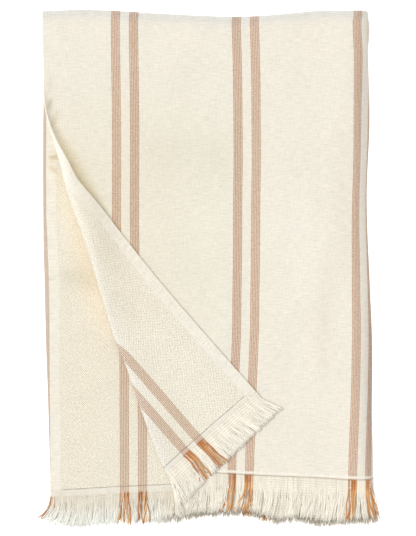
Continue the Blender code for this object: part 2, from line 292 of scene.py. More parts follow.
# Painted light and shade of a run's yarns at their roots and at their tips.
YARN_PAINTED_LIGHT = {
    "fringe_flap": ((1.0, 0.995, 0.985), (1.01, 1.02, 1.03)),
    "roll": ((1.0, 1.0, 0.99), (1.01, 1.02, 1.03)),
    "fringe_front": ((0.96, 0.955, 0.94), (0.965, 0.97, 0.97)),
    "fringe_under": ((0.88, 0.86, 0.83), (0.97, 1.02, 1.07)),
    "fringe_back_inner": ((0.82, 0.80, 0.765), (0.93, 0.975, 1.01)),
    "fringe_back_outer": ((0.82, 0.80, 0.765), (0.93, 0.975, 1.01)),
}
SHADOW_FROM = -60.0  # to the right of this the front run shades the frayed ends below it
SHADOW_OVER = 30.0
BENEATH = (0.92, 0.89, 0.84)  # painted shade of the frayed ends there, beneath the front run
BENEATH_SHARE = 0.8
SHADOW = (0.24, 0.225, 0.205)  # in a line below the front run's tips
SHADOW_AT = 0.89  # of a yarn's length
SHADOW_REACH = 0.07
SHADED = ("fringe_under", "fringe_back_inner", "fringe_back_outer")
HELD_FROM = 184.0  # past this the same runs' yarns are held in towards the side fold
HELD_SHARE = 0.3
CREST_GAP = 2.0  # between the outer and inner runs at the side fold
CREAM_TONE = 0.68  # yarns of a stripe with a tone above this are cream
TONES = {"fringe_flap": 0.8}  # the highest tone of a run's yarns, against 1 for the others
EDGE_TONE = 0.3  # the same for the yarns at the far selvage
STRANDS = 5  # copper yarns gather into this many strands to a stripe
STRAND_SPREAD, STRAND_BOW, STRAND_PINCH, STRAND_HURRY = 0.7, (0.5, 1.3), 0.6, 4.0
STRAND_WANDER = 0.3
# How far the first and last strand of a stripe lean at their tips: fringe, stripe, leans.
STRAND_LEANS = {
    ("fringe_front", 2): (-4.4, -2.4),
    ("fringe_front", 3): (-5.2, -0.8),
    ("fringe_front", 4): (-1.0, -4.0),
    ("fringe_front", 5): (0.5, 6.0),
    ("fringe_under", 8): (7.0, -1.0),
    ("fringe_under", 9): (3.0, 1.0),
    ("fringe_flap", 0): (2.5, -0.5),
    ("fringe_flap", 1): (-1.0, -4.0),
}
OTHER_LEANS = (-1.0, 1.0)

# The studio, in metres.
FLOOR_SIZE = 8.0
SKY_COLOUR = (1.0, 0.972, 0.905, 1.0)
LAMP_COLOUR = (0.97, 0.99, 1.0)
LAMP_ANGLE = 50.0
LAMP_PLACE, LAMP_AIM = (-1.2, 1.0, 1.5), (0.45, -0.05, -1.0)
CAMERA_X, CAMERA_Y = 0.38 * MM, -1.0 * MM
SENSOR = 36.0
SHARP_AT = 10.0 * MM  # the height at which a pixel is its right size


def curve_at(table, where, column=1):
    """The value in a table's column at a place on its first column, along a smooth curve."""
    last = len(table) - 1
    i = 0
    while i < last - 1 and where > table[i + 1][0]:
        i += 1

    def slope(k):
        low = table[max(k - 1, 0)]
        high = table[min(k + 1, last)]
        return (high[column] - low[column]) / (high[0] - low[0])

    start, end = table[i], table[i + 1]
    span = end[0] - start[0]
    if where <= start[0]:
        return start[column] + slope(i) * (where - start[0])
    if where >= end[0]:
        return end[column] + slope(i + 1) * (where - end[0])
    t = (where - start[0]) / span
    rise = end[column] - start[column]
    a = slope(i) * span - rise
    b = rise - slope(i + 1) * span
    return start[column] + rise * t + t * (1 - t) * (a * (1 - t) + b * t)


def clamp(value):
    return min(max(value, 0.0), 1.0)


def smooth(value):
    """Eases from 0 to 1."""
    t = clamp(value)
    return t * t * (3.0 - 2.0 * t)


def mix(a, b, share):
    return a + (b - a) * share


def stack_at(across):
    """Turn of the side fold (0 in the outer layers, pi in the inner ones) and the puff."""
    turn = (across - CREST + CREST_CLOTH) / (2.0 * CREST_CLOTH)
    nearness = 1.0 - (abs(across - CREST) - CREST_CLOTH) / PUFF_REACH
    return math.pi * clamp(turn), PUFF * smooth(nearness)


def plan_x(across, y, over):
    """Where a place on the cloth lies from left to right; `over` is 0 in front, 1 behind."""
    right = mix(curve_at(RIGHT_UPPER, y), curve_at(RIGHT_LOWER, y), over) - CREST_DEPTH
    if across < CREST:
        left = mix(curve_at(LEFT_FRONT, y), curve_at(LEFT_OUTER, y), over)
        share = across / (CREST - CREST_CLOTH)
    else:
        left = mix(curve_at(LEFT_UNDER, y), curve_at(LEFT_INNER, y), over)
        share = (WIDTH - across) / (WIDTH - CREST - CREST_CLOTH)
    turn, _ = stack_at(across)
    return mix(left, right, min(share, 1.0)) + CREST_DEPTH * math.sin(turn)


def inward_at(across):
    """0 in the outer layers of the stack, 1 in the inner ones."""
    turn, _ = stack_at(across)
    return (1.0 - math.cos(turn)) / 2.0


def over_at(along):
    """0 in the front half, 1 in the back half."""
    return clamp((along + TOP_CLOTH) / (2.0 * TOP_CLOTH))


def end_y(across, x, over):
    """Where the ridge of a layer's end lies."""
    inward = inward_at(across)
    if over < 0.5:
        return mix(curve_at(END_FRONT, x), curve_at(END_UNDER, x), inward)
    return mix(curve_at(END_OUTER, x), curve_at(END_INNER, x), inward)


def laid(across, along):
    """A place on the folded cloth before its corner is turned, and which way its face lies."""
    turn, puff = stack_at(across)
    outer = OUTER + puff
    radius = mix(INNER, outer, (1.0 + math.cos(turn)) / 2.0)
    over = over_at(along)
    run = max(abs(along) - TOP_CLOTH, 0.0)
    x = plan_x(across, curve_at(TOP_FOLD, 0.0) - run, over)
    start = curve_at(TOP_FOLD, x) - outer
    stop = end_y(across, x, over)
    y = mix(start, stop, run / RIDGE_RUN) if run < RIDGE_RUN else stop - (run - RIDGE_RUN)
    x = plan_x(across, y, over)
    y += radius * math.sin(math.pi * over)
    facing = math.cos(turn) if over < 0.5 else -min(math.cos(turn), 0.0)
    return Vector((x, y, outer + radius * math.cos(math.pi * over))), facing


def ridge_at(along, back, height):
    """How far a sewn ridge stands out of the cloth's face."""
    off = min(abs(abs(along) - TOP_CLOTH - RIDGE_RUN + back) / RIDGE_HALF, 1.0)
    return height * math.sqrt(1.0 - off * off)


def crease_at(y):
    """The roll of the turned corner at a height: its start x, lean, radius and cloth."""
    slope = (curve_at(CREASE, y + 1.0) - curve_at(CREASE, y - 1.0)) / 2.0
    lean = math.atan(-slope)
    radius = curve_at(ROLL, y)
    start = curve_at(CREASE, y) + (radius + THICKNESS) / math.cos(lean)
    cloth = math.pi * (radius + THICKNESS / 2.0) / math.cos(lean)
    return start, lean, radius, cloth


def turned(flat):
    """A place of the front layer once its corner is turned, and how its face is tipped."""
    start, lean, radius, cloth = crease_at(flat.y)
    past = start - flat.x
    if past <= 0.0:
        return flat, 1.0
    down = Vector((math.sin(lean), -math.cos(lean), 0.0))
    out = Vector((-math.cos(lean), -math.sin(lean), 0.0))
    base = Vector((start, flat.y, flat.z))
    angle = math.pi * min(past / cloth, 1.0)
    rolled = min(past, cloth)
    place = base - down * math.sin(lean) * rolled + out * radius * math.sin(angle)
    place.z += radius * (1.0 - math.cos(angle))
    if past <= cloth:
        return place, math.cos(angle)
    free = past - cloth
    whole = start - curve_at(LEFT_FRONT, flat.y) - cloth
    mirrored = Vector((math.cos(2.0 * lean), math.sin(2.0 * lean), 0.0)) * free
    selvage = Vector((curve_at(TURNED, flat.y, 1), curve_at(TURNED, flat.y, 2), place.z))
    measured = (selvage - place) * (free / max(whole, 1.0))
    place += mirrored.lerp(measured, smooth(whole / SETTLED))
    lifted = 2.0 * radius
    place.z = flat.z + mix(lifted, min(REST_LIFT, lifted), smooth(free / FALL))
    return place, -1.0


def softly(table, x, y):
    """The last entry of each of a table's rows, and how strongly it is felt at a place."""
    for centre_x, centre_y, angle, length, width, entry in table:
        dx, dy = x - centre_x, y - centre_y
        c, s = math.cos(math.radians(angle)), math.sin(math.radians(angle))
        along, across = dx * c + dy * s, dy * c - dx * s
        yield entry, math.exp(-((along / length) ** 4) - (across / width) ** 2)


def creases(table, x, y):
    """The rise of a table's soft creases at a place."""
    return sum(height * weight for height, weight in softly(table, x, y))


def painted_light_at(table, place):
    """The product of a table's painted light and shade at a place."""
    colour = Vector((1.0, 1.0, 1.0))
    for painted_light, weight in softly(table, place.x, place.y):
        for i in range(3):
            colour[i] *= mix(1.0, painted_light[i], weight)
    return colour


def layer_painted_light(across, along, place):
    """The painted light and shade of a place of the cloth."""
    if along >= 0.0:
        return Vector(BACK_PAINTED_SHADE)
    if across > CREST:
        return painted_light_at(UNDER_PAINTED_LIGHT, place) * Vector(UNDER_PAINTED_LIFT)
    if across < TURN_REACH:
        flat, _ = laid(across, along)
        start, _, _, cloth = crease_at(flat.y)
        # Painted highlight along the roll's crown, and painted light on the turned corner's upper
        # end.
        crown = (start - flat.x - CROWN * cloth) / CREASE_DEPTH
        if crown > 0.0:
            colour = Vector((1.0, 1.0, 1.0)).lerp(Vector(CROWN_PAINTED_HIGHLIGHT), math.exp(-crown * crown))
            high = smooth((flat.y - HIGH_FROM) / HIGH_OVER)
            return colour.lerp(colour * Vector(HIGH_PAINTED_LIGHT), high) * painted_light_at(FLAP_PAINTED_LIGHT, place)
    # Painted light and shade of the top layer, with painted shade along the top fold.
    colour = painted_light_at(TOP_PAINTED_LIGHT, place)
    fold = math.exp(-((along / FOLD_DEPTH) ** 2))
    return Vector([part * mix(1.0, painted_light, fold) for part, painted_light in zip(colour, FOLD_PAINTED_SHADE)])


def uneven(place, wave):
    across, along, part = wave
    return noise.noise(Vector((place.x / across, place.y / along, part)))


def layer_relief(across, along, place):
    """How far the soft creases and the cloth's unevenness lift a place of a layer."""
    inward, over = inward_at(across), over_at(along)
    front, under, outer, inner = LAYER_SHARE
    share = mix(mix(front, under, inward), mix(outer, inner, inward), over)
    wave = uneven(place, BROAD_WAVE) + 0.5 * uneven(place, FINE_WAVE)
    rise = creases(TOP_CREASES, place.x, place.y) + UNEVEN * (1.5 + wave)
    bare = smooth((crease_at(place.y)[0] - BARE_FROM - place.x) / BARE_OVER)
    own = creases(UNDER_CREASES, place.x, place.y) * bare
    own += 0.5 * UNEVEN * bare * (1.0 + uneven(place, UNDER_WAVE))
    return share * rise + own * inward * (1.0 - over)


def folded(across, along, sag=0.0):
    """Where a place of the flat cloth lies in the folded towel, in millimetres."""
    flat, facing = laid(across, along)
    flat.z -= sag
    lift = 0.0
    if along < 0.0 and across < TURN_REACH:
        flat, tip = turned(flat)
        facing *= tip
        lift = creases(FLAP_CREASES, across, along) * smooth(-tip)
    if along < 0.0 and across < CREST and facing > 0.0:
        ridge = ridge_at(along, RIDGE_BACK, RIDGE_HEIGHT)
    else:
        ridge = ridge_at(along, 0.0, HIDDEN_RIDGE)
    flat.z += ridge * facing + layer_relief(across, along, flat) + lift
    return flat


def drifted(across, along, y):
    """The place across on the pattern, which has slid a little on the cloth's front half."""
    if along >= 0.0:
        return across + BACK_DRIFT * smooth(1.0 - abs(across - CREST) / BACK_DRIFT_OVER)
    if across > CREST:
        slid = (WIDTH - DRIFT_END - across) / (WIDTH - DRIFT_END - CREST)
        return across + curve_at(DRIFT, y, 5) * smooth(slid)
    rest = [curve_at(DRIFT, y, column) for column in range(1, len(DRIFT_AT))]
    return across + curve_at(list(zip(DRIFT_AT, [0.0, *rest])), across / CREST)


def roll_across(along, share):
    """The place across at which a line of the turned corner's roll crosses a row."""
    low, high = -TURN_REACH, TURN_REACH
    for _ in range(HALVINGS):
        middle = (low + high) / 2.0
        flat, _ = laid(middle, along)
        start, _, _, cloth = crease_at(flat.y)
        if flat.x < start - share * cloth:
            low = middle
        else:
            high = middle
    return (low + high) / 2.0


def world(place):
    """A place of the tables in the frame's metres."""
    return (place - Vector((*MIDDLE, 0.0))) * MM


# ---------------------------------------------------------------------------------------
# Shader groups and materials. A grain's three numbers are its features to a metre on each
# axis, and the weights beside the inputs of a total are how much each one adds.
# ---------------------------------------------------------------------------------------

STRIPES, WEAVE, WAFFLE = "Copper warp", "Plain weave", "Waffled reverse"
SOFT = 0.35 * MM  # how softly a stripe begins
STRIPE_LINES = 5.5  # pitches of copper yarns to a stripe
LINE_SHIFT = 0.045  # of a stripe's width, to where they start
LINE_POWER = 1.6  # narrows them
WARP_PITCH, WEFT_PITCH, LOOP_PITCH, HEADER_PITCH = 1.7 * MM, 1.35 * MM, 2.45 * MM, 1.25 * MM
LOOP_WANDER = 1.6 * MM
FACE_RELIEF, REVERSE_RELIEF, YARN_RELIEF = 0.34 * MM, 0.6 * MM, 0.25 * MM
SEAM_AT = (TOP_CLOTH + RIDGE_RUN) * MM
RIDGE_EDGE = ((RIDGE_HALF + 0.6) * MM, (RIDGE_HALF - 0.2) * MM)
FOOT_AT, FOOT_EDGE = 0.6 * MM, (0.95 * MM, 0.3 * MM)  # the shadow at the ridge's foot
HEM_EDGE = (WIDTH / 2.0 - HEM_WIDTH) * MM  # from the cloth's middle
HEM_SOFT = 0.5 * MM
STITCH_IN, STITCH_LENGTH, STITCH_EDGE = 1.1 * MM, 3.2 * MM, (0.8 * MM, 0.3 * MM)
GROOVE_HALF, GROOVE_WIDER, GROOVE_EDGE = 0.95 * MM, 0.25 * MM, 0.25 * MM
GROOVE_WANDER = 0.6 * MM
UNDER_FROM = (0.2, 0.3)  # across, in metres: where the groove grows wider and fainter
ROOT_EDGE = (0.34, 0.04)  # of a yarn's length
SHEEN, SHEEN_ROUGHNESS, GLINT = 0.15, 0.6, 0.2


class Wiring:
    """Adds and links the nodes of one tree."""

    def __init__(self, tree):
        self.tree = tree

    def put(self, kind, **settings):
        made = self.tree.nodes.new(kind)
        for name, value in settings.items():
            setattr(made, name, value)
        return made

    def feed(self, socket, value):
        if isinstance(value, bpy.types.NodeSocket):
            self.tree.links.new(value, socket)
        else:
            socket.default_value = value

    def math(self, operation, a, b=0.0, c=0.0, clamp=False):
        made = self.put("ShaderNodeMath", operation=operation, use_clamp=clamp)
        for socket, value in zip(made.inputs, (a, b, c)):
            self.feed(socket, value)
        return made.outputs[0]

    def times(self, a, b):
        return self.math("MULTIPLY", a, b)

    def off(self, a, b):
        """How far apart two values are."""
        return self.math("ABSOLUTE", self.math("SUBTRACT", a, b))

    def total(self, base, *parts):
        """A base and the weighted values of the parts."""
        for value, weight in parts:
            base = self.math("MULTIPLY_ADD", value, weight, base)
        return base

    def ripple(self, turns):
        """Rises and falls between 0 and 1, and is 1 at each whole turn."""
        return self.total(0.5, (self.math("COSINE", self.times(turns, math.tau)), 0.5))

    def wave(self, value, pitch, phase=0.0):
        """Rises and falls between 0 and 1 once for each pitch."""
        turn = self.total(phase, (value, math.tau / pitch))
        return self.total(0.5, (self.math("COSINE", turn), -0.5))

    def ease(self, value, low, high):
        """0 at low, 1 at high, eased between; low may be the larger."""
        made = self.put("ShaderNodeMapRange", interpolation_type="SMOOTHSTEP")
        self.feed(made.inputs["Value"], value)
        self.feed(made.inputs["From Min"], low)
        self.feed(made.inputs["From Max"], high)
        return made.outputs["Result"]

    def blend(self, share, a, b, kind="MIX"):
        made = self.put("ShaderNodeMix", data_type="RGBA", blend_type=kind, clamp_factor=True)
        self.feed(made.inputs["Factor"], share)
        self.feed(made.inputs[6], a)
        self.feed(made.inputs[7], b)
        return made.outputs[2]

    def axes(self, vector):
        made = self.put("ShaderNodeSeparateXYZ")
        self.feed(made.inputs[0], vector)
        return made.outputs["X"], made.outputs["Y"]

    def map(self, name):
        """A place on one of the piece's own maps."""
        return self.put("ShaderNodeUVMap", uv_map=name).outputs["UV"]

    def read(self, name, output):
        """An attribute of the piece's own points."""
        return self.put("ShaderNodeAttribute", attribute_name=name).outputs[output]

    def grain(self, vector, scale, detail=2.0, output="Fac"):
        """A noise texture whose features are 1 / scale long on each axis."""
        stretch = self.put("ShaderNodeVectorMath", operation="MULTIPLY")
        self.feed(stretch.inputs[0], vector)
        stretch.inputs[1].default_value = scale
        made = self.put("ShaderNodeTexNoise")
        self.feed(made.inputs["Vector"], stretch.outputs[0])
        made.inputs["Scale"].default_value = 1.0
        made.inputs["Detail"].default_value = detail
        return made.outputs[output]

    def use(self, name, place):
        """Puts a shared group on the place it reads."""
        made = self.put("ShaderNodeGroup")
        made.node_tree = shared_group(name)
        self.feed(made.inputs["Place"], place)
        return made.outputs


def new_group(name, pitches, outputs):
    """A node group that reads a place and some pitches: its wiring and its inputs."""
    tree = bpy.data.node_groups.new(name, "ShaderNodeTree")
    tree.interface.new_socket("Place", in_out="INPUT", socket_type="NodeSocketVector")
    for label, pitch in pitches.items():
        made = tree.interface.new_socket(label, in_out="INPUT", socket_type="NodeSocketFloat")
        made.default_value = pitch
    for label in outputs:
        tree.interface.new_socket(label, in_out="OUTPUT", socket_type="NodeSocketFloat")
    wiring = Wiring(tree)
    return wiring, wiring.put("NodeGroupInput").outputs


def end_group(wiring, **values):
    out = wiring.put("NodeGroupOutput")
    for name, value in values.items():
        wiring.feed(out.inputs[name], value)


def stripes_group():
    """Where the copper warp runs, by place on the flat cloth in metres."""
    cloth = bpy.context.scene.towel_cloth
    w, entry = new_group(STRIPES, {}, ("Stripe", "Yarns", "Edge"))
    across, _ = w.axes(entry["Place"])
    width, gap = cloth.stripe_width, cloth.stripe_gap
    half = width / 2.0
    beyond = w.math("FLOORED_MODULO", w.math("SUBTRACT", across, cloth.margin), cloth.pair_pitch)
    nearest = w.math("MINIMUM", w.off(beyond, half), w.off(beyond, width * 1.5 + gap))
    stripe = w.ease(nearest, half + SOFT, half - SOFT)
    start = w.math("SUBTRACT", w.math("FLOORED_MODULO", beyond, width + gap), LINE_SHIFT * width)
    yarns = w.math("POWER", w.wave(start, width / STRIPE_LINES, math.pi), LINE_POWER)
    line = WIDTH * MM - cloth.edge_line
    end_group(w, Stripe=stripe, Yarns=yarns, Edge=w.ease(across, line - SOFT, line + SOFT))


def weave_group():
    """Plain weave: ribs along the warp, finer ones along the weft, and uneven yarns."""
    pitches = {"Warp pitch": WARP_PITCH, "Weft pitch": WEFT_PITCH}
    w, entry = new_group(WEAVE, pitches, ("Height", "Shade"))
    place = entry["Place"]
    ends, picks = (
        w.ripple(w.math("DIVIDE", axis, entry[pitch]))
        for axis, pitch in zip(w.axes(place), pitches)
    )
    ends_slub = w.grain(place, (800.0, 110.0, 1.0))
    picks_slub = w.grain(place, (100.0, 900.0, 1.0))
    fibre = w.grain(place, (1200.0, 1200.0, 1.0), 1.0)
    patch = w.grain(place, (22.0, 16.0, 1.0), 3.0)
    height = w.total(
        0.0, (ends, 0.25), (picks, 0.22), (ends_slub, 0.5), (picks_slub, 1.1), (fibre, 1.3)
    )
    shade = w.total(0.60, (ends_slub, 0.19), (picks_slub, 0.32), (patch, 0.08), (fibre, 0.26))
    end_group(w, Height=height, Shade=shade)


def waffle_group():
    """The reverse: short raised loops in slanting rows, with painted shade in the pits between."""
    w, entry = new_group(WAFFLE, {"Pitch": LOOP_PITCH}, ("Height", "Shade"))
    place = entry["Place"]
    push = w.put("ShaderNodeVectorMath", operation="MULTIPLY_ADD")
    w.feed(push.inputs[0], w.grain(place, (260.0, 260.0, 1.0), output="Color"))
    push.inputs[1].default_value = (LOOP_WANDER, LOOP_WANDER, 0.0)
    w.feed(push.inputs[2], place)
    turn = w.math("DIVIDE", math.tau, entry["Pitch"])
    ends, picks = (w.math("SINE", w.times(axis, turn)) for axis in w.axes(push.outputs[0]))
    cells = w.total(0.5, (w.times(ends, picks), 0.5))
    tufts = w.grain(place, (620.0, 620.0, 1.0))
    patch = w.grain(place, (30.0, 24.0, 1.0), 3.0)
    # Painted shade in the pits (cells), with tufts and patches of random tone.
    shade = w.total(0.455, (cells, 0.42), (tufts, 0.54), (patch, 0.08))
    end_group(w, Height=w.total(cells, (tufts, 1.3)), Shade=shade)


def shared_group(name):
    """One of the shared node groups, built when it is first asked for."""
    if name not in bpy.data.node_groups:
        {STRIPES: stripes_group, WEAVE: weave_group, WAFFLE: waffle_group}[name]()
    return bpy.data.node_groups[name]


def new_material(name, roughness):
    """A material with the dull sheen of cotton, its wiring and its shader."""
    material = bpy.data.materials.new(name)
    material.use_nodes = True
    shader = material.node_tree.nodes["Principled BSDF"]
    shader.inputs["Roughness"].default_value = roughness
    shader.inputs["Sheen Weight"].default_value = SHEEN
    shader.inputs["Sheen Roughness"].default_value = SHEEN_ROUGHNESS
    shader.inputs["Specular IOR Level"].default_value = GLINT
    return material, Wiring(material.node_tree), shader


def relieve(wiring, shader, height, distance):
    bump = wiring.put("ShaderNodeBump")
    bump.inputs["Strength"].default_value = 1.0
    bump.inputs["Distance"].default_value = distance
    wiring.feed(bump.inputs["Height"], height)
    wiring.feed(shader.inputs["Normal"], bump.outputs["Normal"])


def with_painted_light(wiring, colour):
    """A colour times the piece's own painted light and shade."""
    return wiring.blend(1.0, colour, wiring.read("painted_light", "Color"), "MULTIPLY")


def shaded(wiring, colour, shade):
    """A colour times a grey that varies over the surface."""
    tone = wiring.put("ShaderNodeCombineColor")
    for socket in tone.inputs:
        wiring.feed(socket, shade)
    return wiring.blend(1.0, colour, tone.outputs["Color"], "MULTIPLY")


def opaque(colour):
    return (*colour, 1.0)


def seam_run(wiring, along):
    """How far a place lies past the sewn ridge of its end."""
    return wiring.math("SUBTRACT", wiring.math("ABSOLUTE", along), SEAM_AT)


def face_material(cloth):
    """The face: plain weave with the copper stripes and the far selvage's copper edge."""
    material, w, shader = new_material("woven face", 0.9)
    place = w.map("Cloth")
    _, along = w.axes(place)
    weave, copper = w.use(WEAVE, place), w.use(STRIPES, place)
    speck = w.ease(w.grain(place, (430.0, 900.0, 1.0), 1.0), 0.32, 0.68)
    share = w.times(w.total(0.22, (copper["Yarns"], 0.5), (speck, 0.26)), copper["Stripe"])
    share = w.math("MAXIMUM", share, w.times(copper["Edge"], 0.42))
    colour = w.blend(share, opaque(cloth.cream), opaque(cloth.copper))
    run = seam_run(w, along)
    # The sewn ridge: cream where the seam hides the copper, and lighter than the cloth as a painted
    # highlight on its crest.
    ridge = w.ease(w.off(run, -RIDGE_BACK * MM), *RIDGE_EDGE)
    colour = w.blend(w.times(ridge, 0.85), colour, opaque(cloth.ridge))
    foot = w.ease(w.off(run, FOOT_AT), *FOOT_EDGE)
    colour = w.blend(w.times(foot, 0.5), colour, opaque(cloth.thread_shadow))
    w.feed(shader.inputs["Base Color"], with_painted_light(w, shaded(w, colour, weave["Shade"])))
    ribs = w.times(copper["Yarns"], copper["Stripe"])
    relieve(w, shader, w.total(weave["Height"], (ribs, 0.5)), FACE_RELIEF)
    return material


def reverse_material(cloth):
    """The reverse: waffled, with its stripes in thin lines, turned hems and sewn grooves."""
    material, w, shader = new_material("waffled reverse", 0.95)
    place = w.map("Cloth")
    across, along = w.axes(place)
    weave, waffle, copper = w.use(WEAVE, place), w.use(WAFFLE, place), w.use(STRIPES, place)
    middle = w.off(across, WIDTH / 2.0 * MM)
    hem = w.ease(middle, HEM_EDGE - HEM_SOFT, HEM_EDGE + HEM_SOFT)
    bare = w.math("SUBTRACT", 1.0, hem)
    stitch = w.ease(w.off(middle, HEM_EDGE + STITCH_IN), *STITCH_EDGE)
    stitch = w.times(stitch, w.wave(along, STITCH_LENGTH))
    run = seam_run(w, along)
    wander = w.total(-GROOVE_WANDER, (w.grain(place, (90.0, 1.0, 1.0)), 2.0 * GROOVE_WANDER))
    under = w.ease(across, *UNDER_FROM)
    reach = w.total(GROOVE_HALF, (under, GROOVE_WIDER))
    groove = w.times(w.ease(w.off(run, wander), reach, GROOVE_EDGE), bare)
    groove = w.times(groove, w.total(1.0, (under, -0.2)))
    header = w.math("GREATER_THAN", run, 0.0)
    plain = w.math("MAXIMUM", hem, header)
    share = w.times(w.total(0.2, (copper["Yarns"], 0.72)), copper["Stripe"])
    ground = w.blend(plain, opaque(cloth.reverse), opaque(cloth.cream))
    colour = w.blend(w.times(share, bare), ground, opaque(cloth.copper))
    shade = w.blend(plain, waffle["Shade"], weave["Shade"])
    # Across the header, painted shade in the lines between the warp ends.
    ends = w.total(0.87, (w.wave(across, HEADER_PITCH), 0.12))
    shade = w.times(shade, w.blend(header, (1.0, 1.0, 1.0, 1.0), ends))
    lines = w.total(w.times(groove, 0.55), (stitch, 0.12))
    colour = w.blend(lines, shaded(w, colour, shade), opaque(cloth.thread_shadow))
    w.feed(shader.inputs["Base Color"], with_painted_light(w, colour))
    pucker = w.math("SUBTRACT", w.grain(place, (70.0, 115.0, 1.0), 1.0), 0.5)
    height = w.blend(plain, waffle["Height"], w.times(weave["Height"], 0.7))
    height = w.total(height, (w.times(pucker, hem), 3.5), (stitch, -0.5), (groove, -1.2))
    relieve(w, shader, height, REVERSE_RELIEF)
    return material


def yarn_material(fringe):
    """Loose warp: cream, or copper where the yarn comes out of a stripe, twisted two-ply."""
    material, w, shader = new_material("loose warp", 0.85)
    place = w.map("Cloth")
    copper = w.use(STRIPES, place)
    tone = w.read("tone", "Fac")
    ply = w.ripple(w.math("ADD", *w.axes(w.map("Twist"))))
    stripe = w.times(copper["Stripe"], w.math("LESS_THAN", tone, CREAM_TONE))
    edge = w.times(copper["Edge"], w.math("LESS_THAN", tone, EDGE_TONE))
    _, end = w.axes(place)
    # Near the root, painted shade: the copper turns deeper and the yarn darker.
    root = w.ease(end, *ROOT_EDGE)
    gold = w.math("SUBTRACT", w.times(tone, 1.5), w.times(root, 0.45), clamp=True)
    copper_yarn = w.blend(gold, opaque(fringe.copper), opaque(fringe.gold))
    colour = w.blend(w.math("MAXIMUM", stripe, edge), opaque(fringe.cream), copper_yarn)
    lock = w.grain(place, (330.0, 2.0, 1.0), 1.0)
    # Painted shade in the twist's grooves (ply) and at the root; tone and lock vary at random.
    shade = w.total(0.76, (ply, 0.08), (tone, 0.12), (lock, 0.18), (root, -0.04))
    colour = shaded(w, with_painted_light(w, colour), shade)
    w.feed(shader.inputs["Base Color"], colour)
    # The yarns give off their own colour as a painted glow, for the light that passes through the
    # fibres.
    w.feed(shader.inputs["Emission Color"], colour)
    shader.inputs["Emission Strength"].default_value = fringe.glow
    relieve(w, shader, ply, YARN_RELIEF)
    return material


# ---------------------------------------------------------------------------------------
# Cloth and yarns
# ---------------------------------------------------------------------------------------


def steps_between(low, high, cell):
    """Places from low to high, high left out, about a cell apart."""
    count = max(round((high - low) / cell), 1)
    return [mix(low, high, i / count) for i in range(count)]


def flat_columns():
    """Places across: fine at the hems and round the side fold."""
    near = steps_between(HEM_WIDTH, CREST - CREST_CLOTH, COLUMN_CELL)
    bend = steps_between(CREST - CREST_CLOTH, CREST + CREST_CLOTH, BEND_CELL)
    far = steps_between(CREST + CREST_CLOTH, WIDTH - HEM_WIDTH, COLUMN_CELL)
    far_hem = [WIDTH - place for place in reversed(HEM_COLUMNS)]
    return HEM_COLUMNS + near + bend + far + [WIDTH - HEM_WIDTH] + far_hem


def flat_rows():
    """Places along, from the front end to the back end: fine at the ridges and the top fold."""
    ending = [RIDGE_RUN + step for step in SEAM_ROWS] + [END_RUN]
    front, back = (
        [TOP_CLOTH + run for run in steps_between(0.0, ending[0], cell) + ending]
        for cell in (FRONT_CELL, BACK_CELL)
    )
    top = steps_between(-TOP_CLOTH, TOP_CLOTH, TOP_CELL)[1:]
    return [-run for run in reversed(front)] + top + back


def cut_roll(bm, rows):
    """Cuts the flat mesh along the lines of the turned corner's roll, band by band."""
    lines = {}

    def line_at(along, step):
        if (along, step) not in lines:
            lines[along, step] = roll_across(along, step / ROLL_STEPS)
        return lines[along, step]

    front = [row for row in rows if row < 0.0]
    ends = front[::BAND] + ([front[-1]] if (len(front) - 1) % BAND else [])
    bands = [[] for _ in ends[1:]]
    for face in bm.faces:
        centre = face.calc_center_median()
        if centre.x < TURN_REACH and centre.y < front[-1]:
            index = sum(1 for end in ends[1:] if centre.y > end)
            bands[index].append(face)
    for lower, upper, faces in zip(ends, ends[1:], bands):
        near = {e for f in faces for e in f.edges} | {v for f in faces for v in f.verts}
        shapes = list(faces) + list(near)
        for step in range(ROLL_STEPS + 1):
            start = Vector((line_at(upper, step), upper, 0.0))
            end = Vector((line_at(lower, step), lower, 0.0))
            if end.x <= 0.0:
                continue
            line = end - start
            cut = bmesh.ops.bisect_plane(
                bm,
                geom=shapes,
                dist=SNAP,
                plane_co=start,
                plane_no=Vector((line.y, -line.x, 0.0)),
            )
            shapes = cut["geom"]


def new_piece(name, mesh, materials, node):
    """Ties a new piece to the body and hides the solid that it stands for."""
    piece = bpy.data.objects.new(name, mesh)
    bpy.context.scene.collection.objects.link(piece)
    for material in materials:
        mesh.materials.append(material)
    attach(piece, "root")
    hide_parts(node)
    bpy.ops.object.select_all(action="DESELECT")
    piece.select_set(True)
    bpy.context.view_layer.objects.active = piece
    return piece


